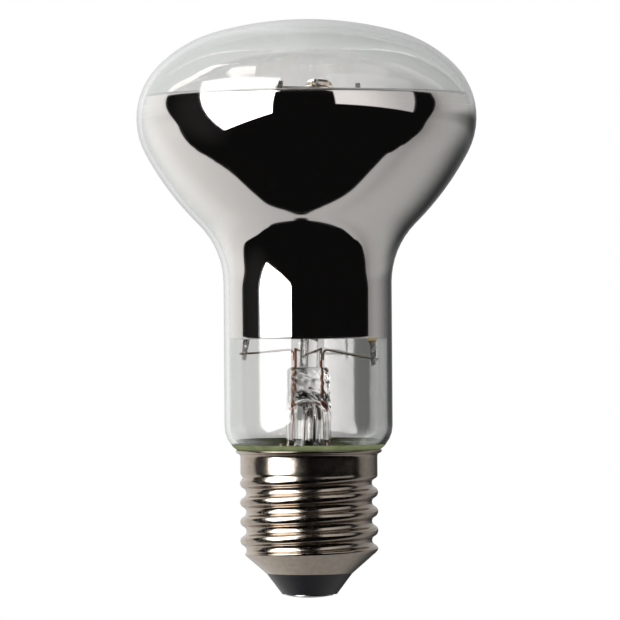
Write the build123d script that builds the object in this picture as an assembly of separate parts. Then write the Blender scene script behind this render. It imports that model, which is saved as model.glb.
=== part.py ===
from build123d import *
import math
import os

# Reflector lamp with a screw cap. Sizes are in millimetres. The origin is the lowest point of the
# centre contact, +Z runs up the lamp's axis to the dome, X is to the right and -Y is the front.

# Whole lamp
overall_height = 109.3

# Glass bulb: tangent arcs from the dome down to the neck. Each angle is that of the outward normal
# where the arc ends, measured from straight up.
bulb_radius = 32.15
glass_wall = 0.9
dome_angle = 15.8
shoulder_radius = 23.9
shoulder_angle = 46.0
belt_radius = 14.1
belt_angle = 118.0
cone_angle = 134.5
cone_length = 1.0
throat_radius = 15.7
neck_radius = 15.9

# Lower end of the neck, drawn in to the cap
neck_round_z = 32.5
neck_round_radius = 5.5
neck_round_angle = 145.0
seal_radius = 11.9
seal_bottom_z = 23.8

# Mirror film on the inside of the bulb
mirror_rim_drop = 14.5
mirror_length = 45.9
film_thickness = 0.15
film_gap = 0.02

# Gap between pieces that are fused, soldered or cast together
seat_gap = 0.02

# Screw cap shell, rolled from sheet
sheet = 0.3
thread_crest_radius = 13.05
skirt_radius = 12.97
thread_depth = 1.15
thread_pitch = 3.62
thread_crest_z = 9.0
skirt_z = 22.0
thread_run_out = 1.6
lip_top_z = 27.9
lip_flare = 0.88
lip_height = 1.2
shell_bottom_z = 4.6
shell_bottom_radius = 8.15
shell_cone_slope = 1.15
cone_blend = 0.6
thread_sections = 80
shell_points_round = 24

# Insulator and centre contact
insulator_bottom_z = 0.7
insulator_bottom_radius = 5.2
insulator_step = 0.05
insulator_plug_height = 2.15
insulator_boss_radius = 3.4
insulator_boss_top_radius = 3.0
insulator_boss_height = 0.6
contact_radius = 4.4
contact_dome = 0.45
contact_shank_radius = 1.5
contact_bore_radius = 0.45
contact_bore_floor_z = 3.0
rivet_head_radius = 2.2
rivet_head_height = 0.45

# Basing cement
cement_bottom_z = 23.9
cement_bead_radius = 13.75
cement_bead_height = 0.45

# Glass stem: flared tube, press and exhaust tube
stem_tube_radius = 4.3
stem_wall = 1.0
flare_radius = 4.6
press_top_z = 43.6
press_height = 7.2
press_width = 8.2
press_thickness = 4.0
press_shoulder = 2.6
press_edge_radius = 0.9
blow_hole_radius = 0.8
blow_hole_rise = 2.0
exhaust_radius = 1.7
exhaust_wall = 0.7
exhaust_tip_z = 21.4

# Glass support rod with the button that holds the upper wires. The rod and all that it carries lean
# to the right about the top of the press.
mount_tilt = 2.6
rod_radius = 1.7
button_radius = 2.6
button_corner = 1.5
button_neck_angle = 140.0
button_rise = 1.7

# Light strips: a coated strip with a metal tab at each end
strip_count = 4
strip_first_azimuth = -6.0
strip_wall_gap = 2.6
strip_head_radius = 7.3
strip_foot_rise = 0.8
strip_head_drop = 11.5
strip_width = 1.9
strip_thickness = 1.1
strip_edge_radius = 0.45
strip_end_radius = 0.25
tab_length = 4.7
tab_root_width = 1.3
tab_tip_width = 0.85
tab_thickness = 0.25
tab_tongue_length = 1.5
tab_tongue_width = 0.9
tab_hole_radius = 0.22
tab_hole_height = 2.7
weld_height = 1.2

# Lead-in wires and the wires that carry the strips
lead_radius = 0.25
lead_spacing = 4.8
lead_rise = 3.6
lead_crimp = 0.2
lead_crimp_drop = 2.1
lead_wall_gap = 0.3
lead_bend = 2.0
arm_radius = 0.2
arm_foot_rise = 1.3
arm_bend_rise = 3.4
arm_bend_radius = 0.8
arm_overhang = 0.9
arm_run = 2.0
arm_drop = 0.25
cross_wire_rise = 0.65
cross_wire_margin = 0.3

# Driver in the cap
board_width = 16.4
board_height = 9.6
board_thickness = 1.0
board_bottom_z = 11.0
lead_pad_x = 5.0
lead_pad_drop = 2.0
lead_pad_overlap = 2.0
capacitor_radius = 3.15
capacitor_height = 8.2
capacitor_x = -4.6
capacitor_bottom_z = 9.6
coil_x = 4.6
core_radius = 3.0
core_height = 6.2
core_flange = 0.9
core_waist_radius = 1.4
coil_radius = 2.5
core_bottom_z = 10.4
chip_body_height = 1.4
chip_lead_width = 0.5
chip_lead_reach = 0.8
chip_lead_thickness = 0.2
bridge_size = (4.7, 4.0)
bridge_place = (-3.4, 15.4)
driver_chip_size = (4.9, 3.9)
driver_chip_place = (3.6, 14.6)
resistor_radius = 1.1
resistor_length = 5.0
resistor_bottom_z = 10.2
resistor_y = -1.4
hookup_radius = 0.2
hookup_bend = 0.5
neutral_azimuth = 166.0
neutral_pad_x = -7.2


def normal_point(centre, radius, angle):
    """Point of an arc in the XZ plane whose outward normal is at this angle from +Z."""
    a = math.radians(angle)
    return Vector(centre[0] + radius * math.sin(a), 0, centre[1] + radius * math.cos(a))


def walk(start, moves, inset=0.0):
    """Tangent lines and arcs in the XZ plane, set in from the outline by inset.

    start is (radius, height, normal angle). A move is ("out", radius, end angle) for an arc that
    bulges, ("in", radius, end angle) for a hollow one, or ("line", length)."""
    r, z, angle = start
    edges = []
    for move in moves:
        kind = move[0]
        a = math.radians(angle)
        if kind == "line":
            begin = normal_point((r, z), -inset, angle)
            r += move[1] * math.cos(a)
            z -= move[1] * math.sin(a)
            edges.append(Edge.make_line(begin, normal_point((r, z), -inset, angle)))
            continue
        sign = 1 if kind == "out" else -1
        radius, end = move[1], move[2]
        centre = (r - sign * radius * math.sin(a), z - sign * radius * math.cos(a))
        reach = sign * radius - inset
        stops = [normal_point(centre, reach, t) for t in (angle, (angle + end) / 2, end)]
        edges.append(Edge.make_three_point_arc(*stops))
        r = centre[0] + sign * radius * math.sin(math.radians(end))
        z = centre[1] + sign * radius * math.cos(math.radians(end))
        angle = end
    return edges


def turned(edges):
    """Solid of revolution about Z from a closed set of edges in the XZ plane."""
    return revolve(Face(Wire(edges)), axis=Axis.Z)


def turned_wall(outer, inner):
    """Solid of revolution between two open outlines that run the same way."""
    ends = [Edge.make_line(outer[0] @ 0, inner[0] @ 0), Edge.make_line(outer[-1] @ 1, inner[-1] @ 1)]
    return turned([e for e in [*outer, *inner, *ends] if e.length > 1e-6])


def turned_polygon(points):
    """Solid of revolution about Z from a closed polygon of (radius, height) points."""
    corners = [Vector(r, 0, z) for r, z in points]
    return turned([Edge.make_line(a, b) for a, b in zip(corners, corners[1:] + corners[:1])])


def round_wire(points, radius, bend=None):
    """Round wire along a polyline with its corners rounded to the bend radius."""
    if bend is None:
        path = Wire([Edge.make_line(points[0], points[-1])])
    else:
        path = FilletPolyline(*points, radius=bend)
    section = Plane(origin=path @ 0, z_dir=path % 0) * Circle(radius)
    return sweep(section, path=path)


# Glass bulb and mirror


def sine(angle):
    return math.sin(math.radians(angle))


def bulb_moves():
    """The bulb's outline from the top of the dome to the end of the seal tube."""
    shoulder = shoulder_radius * (sine(shoulder_angle) - sine(dome_angle))
    belt = belt_radius * (1 - sine(shoulder_angle))
    dome_radius = (bulb_radius - shoulder - belt) / sine(dome_angle)

    belt_end = bulb_radius - belt_radius * (1 - sine(belt_angle))
    cone_end = neck_radius + throat_radius * (1 - sine(cone_angle))
    cone_start = cone_end - cone_length * math.cos(math.radians(cone_angle))
    flank_radius = (belt_end - cone_start) / (sine(belt_angle) - sine(cone_angle))

    upper = [
        ("out", dome_radius, dome_angle),
        ("out", shoulder_radius, shoulder_angle),
        ("out", belt_radius, belt_angle),
        ("out", flank_radius, cone_angle),
        ("line", cone_length),
        ("in", throat_radius, 90.0),
    ]
    throat_z = walk((0, overall_height, 0), upper)[-1].position_at(1).Z
    drawn_in = neck_radius - neck_round_radius * (1 - sine(neck_round_angle))
    seal_curve = (drawn_in - seal_radius) / (1 - sine(neck_round_angle))
    lower = [
        ("line", throat_z - neck_round_z),
        ("out", neck_round_radius, neck_round_angle),
        ("in", seal_curve, 90.0),
    ]
    seal_z = walk((neck_radius, throat_z, 90.0), lower)[-1].position_at(1).Z
    return [*upper, *lower, ("line", seal_z - seal_bottom_z)]


def bulb_outline(inset=0.0):
    return walk((0, overall_height, 0), bulb_moves(), inset)


def glass_bulb():
    return turned_wall(bulb_outline(), bulb_outline(glass_wall))


def mirror_coating():
    """Metal film inside the bulb, from just under the dome to part way down the neck."""
    film_inset = glass_wall + film_gap
    film = turned_wall(bulb_outline(film_inset), bulb_outline(film_inset + film_thickness))
    band = Pos(0, 0, overall_height - mirror_rim_drop) * Cylinder(
        bulb_radius + glass_wall,
        mirror_length,
        align=(Align.CENTER, Align.CENTER, Align.MAX),
    )
    return film & band


def solid_bulb(growth):
    """The bulb's outer form as a plug, grown by a clearance, to cut what lies against it."""
    outline = bulb_outline(-growth)
    top = outline[0] @ 0
    foot = outline[-1] @ 1
    axis_foot = Vector(0, 0, foot.Z)
    return turned([*outline, Edge.make_line(foot, axis_foot), Edge.make_line(axis_foot, top)])


# Screw cap


def ease(share):
    share = min(max(share, 0.0), 1.0)
    return share * share * (3 - 2 * share)


def soft_min(a, b, blend):
    """The smaller of two lengths, with the corner between them rounded."""
    h = max(blend - abs(a - b), 0.0) / blend
    return min(a, b) - h * h * blend / 4


def groove_depth(pitches):
    """Depth of the thread's groove, a number of pitches from a crest. Crests and roots are equal
    arcs that run into each other."""
    arc = (thread_pitch**2 / 4 + thread_depth**2) / (4 * thread_depth)
    from_crest = abs(pitches - round(pitches)) * thread_pitch
    from_root = thread_pitch / 2 - from_crest
    if from_crest < from_root:
        return arc - math.sqrt(arc**2 - from_crest**2)
    return thread_depth - arc + math.sqrt(arc**2 - from_root**2)


def shell_radius(z, turn):
    """Outer radius of the cap shell under its skirt, at a height and a share of a turn about Z: a
    right-handed rolled thread that fades into the skirt above it and into the cone under it."""
    groove = groove_depth((z - thread_crest_z) / thread_pitch - turn)
    thread = thread_crest_radius - skirt_radius - groove
    rolled = skirt_radius + thread * (1 - ease((z - skirt_z) / thread_run_out))
    cone = shell_bottom_radius + (z - shell_bottom_z) * shell_cone_slope
    return soft_min(cone, rolled, cone_blend)


def shell_inner_radius(z, turn):
    """Radius of the surface that lies one sheet thickness inside the shell's outer surface."""
    step = 0.01
    slope = (shell_radius(z + step, turn) - shell_radius(z - step, turn)) / (2 * step)
    return shell_radius(z, turn) - sheet * math.sqrt(1 + slope * slope)


def thread_end_z():
    return skirt_z + thread_run_out


def shell_section(radius_at, z):
    """Level section of the rolled part. It is a true circle where the thread has run out."""
    if z >= thread_end_z():
        return Wire([Edge.make_circle(radius_at(thread_end_z(), 0.0), Plane.XY.offset(z))])
    turns = [i / shell_points_round for i in range(shell_points_round)]
    ring = []
    for turn in turns:
        r = radius_at(z, turn)
        angle = 2 * math.pi * turn
        ring.append(Vector(r * math.cos(angle), r * math.sin(angle), z))
    return Wire([Edge.make_spline(ring, periodic=True, parameters=[*turns, 1.0])])


def rolled_form(radius_at, overrun=0.0):
    """Solid whose level sections have the given radius, from the shell's bottom edge to the skirt."""
    rise = thread_end_z() - shell_bottom_z
    heights = [shell_bottom_z + rise * i / thread_sections for i in range(thread_sections)]
    heights.append(thread_end_z())
    if overrun:
        heights = [shell_bottom_z - overrun, *heights, thread_end_z() + overrun]
    return Solid.make_loft([shell_section(radius_at, z) for z in heights], ruled=True)


def lip_outline(inset=0.0):
    """The flared lip and the plain skirt under it, from the top down."""
    turn = 2 * math.degrees(math.atan2(lip_flare, lip_height))
    curve = lip_height / sine(turn) / 2
    moves = [
        ("out", curve, 90.0 + turn),
        ("in", curve, 90.0),
        ("line", lip_top_z - lip_height - thread_end_z()),
    ]
    return walk((skirt_radius + lip_flare, lip_top_z, 90.0), moves, inset)


def cap_shell():
    rolled = rolled_form(shell_radius) - rolled_form(shell_inner_radius, overrun=sheet)
    return rolled + turned_wall(lip_outline(), lip_outline(sheet))


def cap_insulator():
    """Moulded insulator: the cone that shows, and the plug that locks into the shell's cone."""
    slant = sheet * math.sqrt(1 + shell_cone_slope**2)
    mouth = shell_bottom_radius - slant - seat_gap
    plug_top = shell_bottom_z + insulator_plug_height
    plug_radius = mouth + insulator_plug_height * shell_cone_slope
    bore = contact_shank_radius + seat_gap
    floor = plug_top + insulator_boss_height
    step_z = shell_bottom_z - seat_gap
    return turned_polygon(
        [
            (bore, insulator_bottom_z),
            (insulator_bottom_radius, insulator_bottom_z),
            (shell_bottom_radius - insulator_step, step_z),
            (mouth, step_z),
            (mouth, shell_bottom_z),
            (plug_radius, plug_top),
            (insulator_boss_radius, plug_top),
            (insulator_boss_top_radius, floor),
            (bore, floor),
        ]
    )


def rivet_seat_z():
    return shell_bottom_z + insulator_plug_height + insulator_boss_height


def centre_contact():
    """Domed contact disc in one piece with a hollow rivet that is headed over inside."""
    disc_top = insulator_bottom_z - seat_gap
    head_z = rivet_seat_z() + seat_gap
    top_z = head_z + rivet_head_height
    dome_rise = (contact_radius**2 + contact_dome**2) / (2 * contact_dome)
    middle_r = contact_radius / 2
    middle = Vector(middle_r, 0, dome_rise - math.sqrt(dome_rise**2 - middle_r**2))
    rim = Vector(contact_radius, 0, contact_dome)
    corners = [
        rim,
        Vector(contact_radius, 0, disc_top),
        Vector(contact_shank_radius, 0, disc_top),
        Vector(contact_shank_radius, 0, head_z),
        Vector(rivet_head_radius, 0, head_z),
        Vector(rivet_head_radius - rivet_head_height / 2, 0, top_z),
        Vector(contact_bore_radius, 0, top_z),
        Vector(contact_bore_radius, 0, contact_bore_floor_z),
        Vector(0, 0, contact_bore_floor_z),
        Vector(0, 0, 0),
    ]
    edges = [Edge.make_three_point_arc(Vector(0, 0, 0), middle, rim)]
    edges += [Edge.make_line(a, b) for a, b in zip(corners, corners[1:])]
    return turned(edges)


def basing_cement():
    """Cement ring that fills the space between the neck and the shell, with a bead at the lip."""
    edges = lip_outline(sheet + seat_gap)
    mouth = edges[0] @ 0
    skirt = edges[-1] @ 1
    inside = seal_radius - glass_wall / 2
    bead_z = lip_top_z + seat_gap
    bead_top = lip_top_z + cement_bead_height
    outline = [
        (skirt.X, skirt.Z),
        (skirt.X, cement_bottom_z),
        (inside, cement_bottom_z),
        (inside, bead_top),
        (cement_bead_radius, bead_top),
        (cement_bead_radius, bead_z),
        (mouth.X, bead_z),
        (mouth.X, mouth.Z),
    ]
    corners = [Vector(r, 0, z) for r, z in outline]
    edges += [Edge.make_line(a, b) for a, b in zip(corners, corners[1:]) if (b - a).length > 1e-6]
    return turned(edges) - solid_bulb(seat_gap)


# Glass stem


def flare_start_z():
    return seal_bottom_z + stem_wall + flare_radius


def press_bottom_z():
    return press_top_z - press_height


def stem():
    """Flared tube closed by a flattened press, with holes for the wires and for pumping."""
    rim_radius = seal_radius - glass_wall - seat_gap
    moves = [
        ("line", press_bottom_z() - flare_start_z()),
        ("in", flare_radius, 0.0),
        ("line", rim_radius - stem_tube_radius - flare_radius),
    ]
    start = (stem_tube_radius, press_bottom_z(), 90.0)
    tube = turned_wall(walk(start, moves), walk(start, moves, stem_wall))

    shoulder_z = press_bottom_z() + press_shoulder
    foot = Plane.XY.offset(press_bottom_z()) * Circle(stem_tube_radius)
    flat = Plane.XY.offset(shoulder_z) * SlotOverall(press_width, press_thickness)
    block = extrude(flat, press_top_z - shoulder_z)
    block = fillet(block.edges().group_by(Axis.Z)[-1], press_edge_radius)
    body = tube + loft([foot.face(), flat.face()]) + block

    for x in (-lead_spacing / 2, lead_spacing / 2):
        body -= cylinder_between((x, 0, press_bottom_z() - 1), (x, 0, press_top_z + 1), lead_radius + seat_gap)
    hole_z = press_bottom_z() + blow_hole_rise
    body -= cylinder_between((0, 0, press_bottom_z() - 1), (0, 0, hole_z), blow_hole_radius)
    body -= cylinder_between((0, 0, hole_z), (0, press_width, hole_z), blow_hole_radius)
    return body


def cylinder_between(start, end, radius):
    """Cylinder from one point to another."""
    line = Vector(*end) - Vector(*start)
    return extrude(Plane(origin=start, z_dir=line) * Circle(radius), line.length)


def exhaust_tube():
    """Thin tube under the press, melted shut at its lower tip."""
    top = press_bottom_z() - seat_gap
    start = (exhaust_radius, top, 90.0)
    moves = [("line", top - exhaust_tip_z - exhaust_radius), ("out", exhaust_radius, 180.0)]
    return turned_wall(walk(start, moves), walk(start, moves, exhaust_wall))


def cross_wire_z():
    """Height at which the upper wires cross the strips' tabs."""
    return strip_foot_z() + math.cos(math.radians(strip_lean())) * (strip_length() - weld_height)


def mount():
    """Leans what the rod carries to the right about the top of the press."""
    return Pos(0, 0, press_top_z) * Rot(0, mount_tilt, 0) * Pos(0, 0, -press_top_z)


def support_rod():
    """Glass rod on the press, ending in a button that the two upper wires pass through."""
    foot_align = (Align.CENTER, Align.CENTER, Align.MAX)
    neck_r = button_radius - button_corner + button_corner * sine(button_neck_angle)
    under_curve = (neck_r - rod_radius) / (1 - sine(button_neck_angle))
    moves = [
        ("line", button_radius - button_corner),
        ("out", button_corner, button_neck_angle),
        ("in", under_curve, 90.0),
    ]
    outline = walk((0, cross_wire_z() + button_rise, 0), moves)
    shoulder = outline[-1] @ 1
    foot = Vector(rod_radius, 0, press_top_z - rod_radius)
    axis_foot = Vector(0, 0, press_top_z - rod_radius)
    outline += [
        Edge.make_line(shoulder, foot),
        Edge.make_line(foot, axis_foot),
        Edge.make_line(axis_foot, outline[0] @ 0),
    ]
    rod = turned(outline)
    reach = button_radius + cross_wire_margin
    for azimuth, z in cross_wire_levels():
        y = wire_offset(arm_radius)
        hole = cylinder_between((-reach, y, z), (reach, y, z), arm_radius + seat_gap)
        rod -= Rot(0, 0, azimuth) * hole
    reach = 2 * button_radius
    return mount() * rod - Pos(0, 0, press_top_z) * Box(reach, reach, reach, align=foot_align)


# Light strips


def strip_foot_radius():
    return neck_radius - glass_wall - strip_wall_gap


def strip_foot_z():
    return press_top_z + strip_foot_rise


def strip_rise():
    return overall_height - strip_head_drop - strip_foot_z()


def strip_length():
    return math.hypot(strip_rise(), strip_foot_radius() - strip_head_radius)


def strip_lean():
    """Angle at which the strips lean in towards the axis."""
    return math.degrees(math.asin((strip_foot_radius() - strip_head_radius) / strip_length()))


def strip_azimuth(index):
    return strip_first_azimuth + index * 360 / strip_count


def strip_place(index):
    """Puts a strip drawn along +Z from its lower tip, with X pointing away from the axis."""
    foot = Pos(strip_foot_radius(), 0, strip_foot_z())
    return mount() * Rot(0, 0, strip_azimuth(index)) * foot * Rot(0, -strip_lean(), 0)


def coated_strip():
    """Strip of light-emitting chips under a rounded yellow coating, slotted for its two tabs."""
    length = strip_length() - 2 * tab_length
    section = RectangleRounded(strip_width, strip_thickness, strip_edge_radius)
    bar = Pos(0, 0, tab_length) * extrude(section, length)
    ends = bar.edges().group_by(Axis.Z)
    bar = fillet([*ends[0], *ends[-1]], strip_end_radius)
    slot = Box(
        tab_tongue_width + 2 * seat_gap,
        tab_thickness + 2 * seat_gap,
        2 * (tab_tongue_length + seat_gap),
    )
    return bar - Pos(0, 0, tab_length) * slot - Pos(0, 0, strip_length() - tab_length) * slot


def end_tab():
    """Tapered metal tab with its tip at the origin, a round hole and a tongue for the strip."""
    root = tab_length - seat_gap
    tongue_top = tab_length + tab_tongue_length
    half_outline = [
        (tab_tip_width / 2, 0),
        (tab_root_width / 2, root),
        (tab_tongue_width / 2, root),
        (tab_tongue_width / 2, tongue_top),
    ]
    mirrored = [(-x, z) for x, z in reversed(half_outline)]
    corners = [Vector(x, 0, z) for x, z in half_outline + mirrored]
    outline = Wire([Edge.make_line(a, b) for a, b in zip(corners, corners[1:] + corners[:1])])
    plate = extrude(Face(outline), tab_thickness / 2, dir=(0, 1, 0), both=True)
    reach = tab_thickness
    hole = cylinder_between((0, -reach, tab_hole_height), (0, reach, tab_hole_height), tab_hole_radius)
    return plate - hole


def upper_tab():
    """The same tab at the strip's far end."""
    return Pos(0, 0, strip_length()) * Rot(0, 180, 0) * end_tab()


# Wires inside the bulb


def wire_offset(radius):
    """Distance from a tab's middle plane to the middle of a wire welded on its face."""
    return tab_thickness / 2 + radius + seat_gap


def weld_radius(height):
    """Distance from the axis of the point at this height along a strip."""
    return strip_foot_radius() - sine(strip_lean()) * height


def lead_top_z():
    return press_top_z + lead_rise


def lead_in_wire(side):
    """Wire from a pad on the driver board, up through the press, to the lower wires' feet."""
    x = side * lead_spacing / 2
    crimp_x = x - side * lead_crimp
    wall_x = side * (stem_tube_radius - stem_wall - lead_radius - lead_wall_gap)
    pad_x = side * lead_pad_x
    pad_z = seal_bottom_z - lead_pad_drop
    points = [
        (x, 0, lead_top_z()),
        (x, 0, press_bottom_z() - lead_crimp),
        (crimp_x, 0, press_bottom_z() - lead_crimp_drop),
        (wall_x, 0, flare_start_z()),
        (pad_x, 0, pad_z),
        (pad_x, 0, board_top_z() - lead_pad_overlap),
    ]
    return round_wire(points, lead_radius, bend=lead_bend)


def lower_arm(index):
    """Wire from the side of a lead-in wire out to a strip's lower tab."""
    side, away = ((1, (1, 0)), (-1, (0, 1)), (-1, (-1, 0)), (1, (0, -1)))[index]
    beside = lead_radius + arm_radius + seat_gap
    foot_x = side * lead_spacing / 2 + away[0] * beside
    foot_y = away[1] * beside
    tab_z = strip_foot_z() + math.cos(math.radians(strip_lean())) * weld_height
    tab_r = weld_radius(weld_height)
    turn = mount() * Rot(0, 0, strip_azimuth(index))
    offset = wire_offset(arm_radius)
    near = (turn * Pos(tab_r - arm_run, offset, tab_z + arm_drop)).position
    end = (turn * Pos(tab_r + arm_overhang, offset, tab_z)).position
    foot_z = press_top_z + arm_foot_rise
    bend_z = press_top_z + arm_bend_rise
    points = [(foot_x, foot_y, foot_z), (foot_x, foot_y, bend_z), near, end]
    return round_wire(points, arm_radius, bend=[arm_bend_radius, 2 * arm_bend_radius])


def cross_wire_levels():
    """Azimuth and height in the button of the two upper wires, which cross without touching."""
    return [
        (strip_azimuth(0), cross_wire_z()),
        (strip_azimuth(1), cross_wire_z() + cross_wire_rise),
    ]


def upper_cross_wire(index):
    """Wire through the button that joins the upper tabs of two opposite strips."""
    azimuth, button_z = cross_wire_levels()[index]
    tab_r = weld_radius(strip_length() - weld_height)
    reach = tab_r + arm_overhang
    y = wire_offset(arm_radius)
    z = cross_wire_z()
    if index == 0:
        wire = round_wire([(-reach, y, z), (reach, y, z)], arm_radius)
    else:
        level = button_radius + cross_wire_margin
        run_out = tab_r - arm_run
        half = [(reach, y, z), (run_out, y, z), (level, y, button_z)]
        mirrored = [(-x, y_, z_) for x, y_, z_ in reversed(half)]
        wire = round_wire(half + mirrored, arm_radius, bend=arm_bend_radius)
    return mount() * Rot(0, 0, azimuth) * wire


# Driver in the cap


def board_front_y():
    return lead_radius + seat_gap


def board_top_z():
    return board_bottom_z + board_height


def board_back_y():
    return board_front_y() + board_thickness


def driver_board():
    blank = Box(
        board_width,
        board_thickness,
        board_height,
        align=(Align.CENTER, Align.MIN, Align.MIN),
    )
    return Pos(0, board_front_y(), board_bottom_z) * fillet(blank.edges().filter_by(Axis.Y), 1.0)


def smoothing_capacitor():
    """Electrolytic can with its rolled groove and rounded crimp."""
    crimp = 0.5
    groove_z = 1.2
    can = turned_polygon(
        [
            (0, 0),
            (capacitor_radius - crimp, 0),
            (capacitor_radius, crimp),
            (capacitor_radius, groove_z),
            (capacitor_radius - crimp / 2, groove_z + crimp / 2),
            (capacitor_radius, groove_z + crimp),
            (capacitor_radius, capacitor_height - crimp / 2),
            (capacitor_radius - crimp / 2, capacitor_height),
            (0, capacitor_height),
        ]
    )
    y = board_front_y() - seat_gap - capacitor_radius
    return Pos(capacitor_x, y, capacitor_bottom_z) * can


def coil_place():
    return Pos(coil_x, board_front_y() - seat_gap - core_radius, core_bottom_z)


def inductor_core():
    """Ferrite drum: a waist between two flanges."""
    top = core_height - core_flange
    return coil_place() * turned_polygon(
        [
            (0, 0),
            (core_radius, 0),
            (core_radius, core_flange),
            (core_waist_radius, core_flange),
            (core_waist_radius, top),
            (core_radius, top),
            (core_radius, core_height),
            (0, core_height),
        ]
    )


def inductor_coil():
    """Copper winding that fills the drum's waist."""
    inner = core_waist_radius + seat_gap
    low = core_flange + seat_gap
    high = core_height - core_flange - seat_gap
    return coil_place() * turned_polygon([(inner, low), (coil_radius, low), (coil_radius, high), (inner, high)])


def chip(size, place, leads):
    """Flat package on the back of the board, with bent leads along its two upright sides."""
    width, height = size
    x, z = place
    body = Box(width, chip_body_height, height, align=(Align.CENTER, Align.MIN, Align.CENTER))
    body = chamfer(body.faces().sort_by(Axis.Y)[-1].edges(), chip_lead_thickness)
    pitch = height / leads
    stretch = chip_body_height / 2
    for row in range(leads):
        lead_z = (row + 0.5) * pitch - height / 2
        for side in (-1, 1):
            edge = side * width / 2
            toe = side * (width / 2 + chip_lead_reach)
            knee = side * (width / 2 + chip_lead_reach / 2)
            outline = Polyline(
                (edge - side * chip_lead_thickness, stretch, lead_z),
                (knee, stretch, lead_z),
                (knee, chip_lead_thickness / 2, lead_z),
                (toe, chip_lead_thickness / 2, lead_z),
            )
            section = Plane(origin=outline @ 0, x_dir=(0, 0, 1), z_dir=outline % 0)
            strip = section * Rectangle(chip_lead_width, chip_lead_thickness)
            body += sweep(strip, path=outline, transition=Transition.RIGHT)
    return Pos(x, board_back_y() + seat_gap, z) * body


def fuse_resistor():
    """Coated resistor body, thicker at its two end caps."""
    cap_length = resistor_length / 5
    waist = resistor_radius * 0.86
    top = resistor_length
    body = turned_polygon(
        [
            (0, 0),
            (resistor_radius - 0.3, 0),
            (resistor_radius, 0.3),
            (resistor_radius, cap_length),
            (waist, cap_length + 0.3),
            (waist, top - cap_length - 0.3),
            (resistor_radius, top - cap_length),
            (resistor_radius, top - 0.3),
            (resistor_radius - 0.3, top),
            (0, top),
        ]
    )
    return Pos(0, resistor_y, resistor_bottom_z) * body


def live_wire():
    """Wire from inside the hollow rivet to the foot of the fuse resistor."""
    top_z = rivet_seat_z() + rivet_head_height
    points = [
        (0, 0, contact_bore_floor_z + 1),
        (0, 0, top_z + hookup_bend),
        (0, resistor_y, top_z + 3 * hookup_bend),
        (0, resistor_y, resistor_bottom_z - seat_gap),
    ]
    return round_wire(points, hookup_radius, bend=hookup_bend / 2)


def fuse_lead():
    """The resistor's upper lead, bent back to the board."""
    top_z = resistor_bottom_z + resistor_length
    points = [
        (0, resistor_y, top_z + seat_gap),
        (0, resistor_y, top_z + 2.5 * hookup_bend),
        (0, board_front_y() - seat_gap, top_z + 2.5 * hookup_bend),
    ]
    return round_wire(points, hookup_radius, bend=hookup_bend)


def neutral_wire():
    """Wire from the back of the board to the inside of the shell, which it lies against."""
    back_y = board_back_y() + hookup_radius + seat_gap
    wall_r = thread_crest_radius - thread_depth - sheet - hookup_radius - 2 * seat_gap
    wall = Rot(0, 0, neutral_azimuth) * Pos(wall_r, 0, 0)
    points = [
        (neutral_pad_x, back_y, board_bottom_z + 1.0),
        (neutral_pad_x, back_y, board_bottom_z + 3.2),
        (wall * Pos(0, 0, board_bottom_z + 6.0)).position,
        (wall * Pos(0, 0, skirt_z)).position,
    ]
    return round_wire(points, hookup_radius, bend=[0.8, 1.5])


def lamp():
    """Every piece of the lamp by its name."""
    pieces = {
        "glass_bulb": glass_bulb(),
        "mirror_coating": mirror_coating(),
        "stem": stem(),
        "exhaust_tube": exhaust_tube(),
        "support_rod": support_rod(),
        "lead_in_wire_left": lead_in_wire(-1),
        "lead_in_wire_right": lead_in_wire(1),
        "upper_cross_wire_low": upper_cross_wire(0),
        "upper_cross_wire_high": upper_cross_wire(1),
        "cap_shell": cap_shell(),
        "cap_insulator": cap_insulator(),
        "centre_contact": centre_contact(),
        "basing_cement": basing_cement(),
        "driver_board": driver_board(),
        "smoothing_capacitor": smoothing_capacitor(),
        "inductor_core": inductor_core(),
        "inductor_coil": inductor_coil(),
        "bridge_rectifier": chip(bridge_size, bridge_place, 2),
        "driver_chip": chip(driver_chip_size, driver_chip_place, 4),
        "fuse_resistor": fuse_resistor(),
        "fuse_lead": fuse_lead(),
        "live_wire": live_wire(),
        "neutral_wire": neutral_wire(),
    }
    for index, where in enumerate(("right", "back", "left", "front")):
        place = strip_place(index)
        pieces[f"light_strip_{where}"] = place * coated_strip()
        pieces[f"lower_tab_{where}"] = place * end_tab()
        pieces[f"upper_tab_{where}"] = place * upper_tab()
        pieces[f"lower_arm_{where}"] = lower_arm(index)
    return pieces


os.makedirs("parts", exist_ok=True)
for name, piece in lamp().items():
    export_step(piece, f"parts/{name}.step")
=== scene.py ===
import math

import bmesh
import bpy
from mathutils import Matrix, Vector, noise


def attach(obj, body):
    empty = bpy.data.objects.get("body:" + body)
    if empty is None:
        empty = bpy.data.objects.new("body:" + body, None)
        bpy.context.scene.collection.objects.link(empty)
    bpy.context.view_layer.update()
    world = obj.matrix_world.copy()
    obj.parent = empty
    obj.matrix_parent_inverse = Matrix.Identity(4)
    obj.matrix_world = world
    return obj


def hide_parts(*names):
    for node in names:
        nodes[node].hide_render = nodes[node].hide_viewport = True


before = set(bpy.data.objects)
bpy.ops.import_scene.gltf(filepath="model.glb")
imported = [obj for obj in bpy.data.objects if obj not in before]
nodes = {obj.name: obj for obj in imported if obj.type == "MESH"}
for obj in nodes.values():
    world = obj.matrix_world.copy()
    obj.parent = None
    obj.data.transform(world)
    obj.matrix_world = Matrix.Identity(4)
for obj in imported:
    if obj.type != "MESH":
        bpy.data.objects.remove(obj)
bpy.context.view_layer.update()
scene = bpy.context.scene
scene.view_settings.view_transform = "Standard"
mm = 0.001


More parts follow.
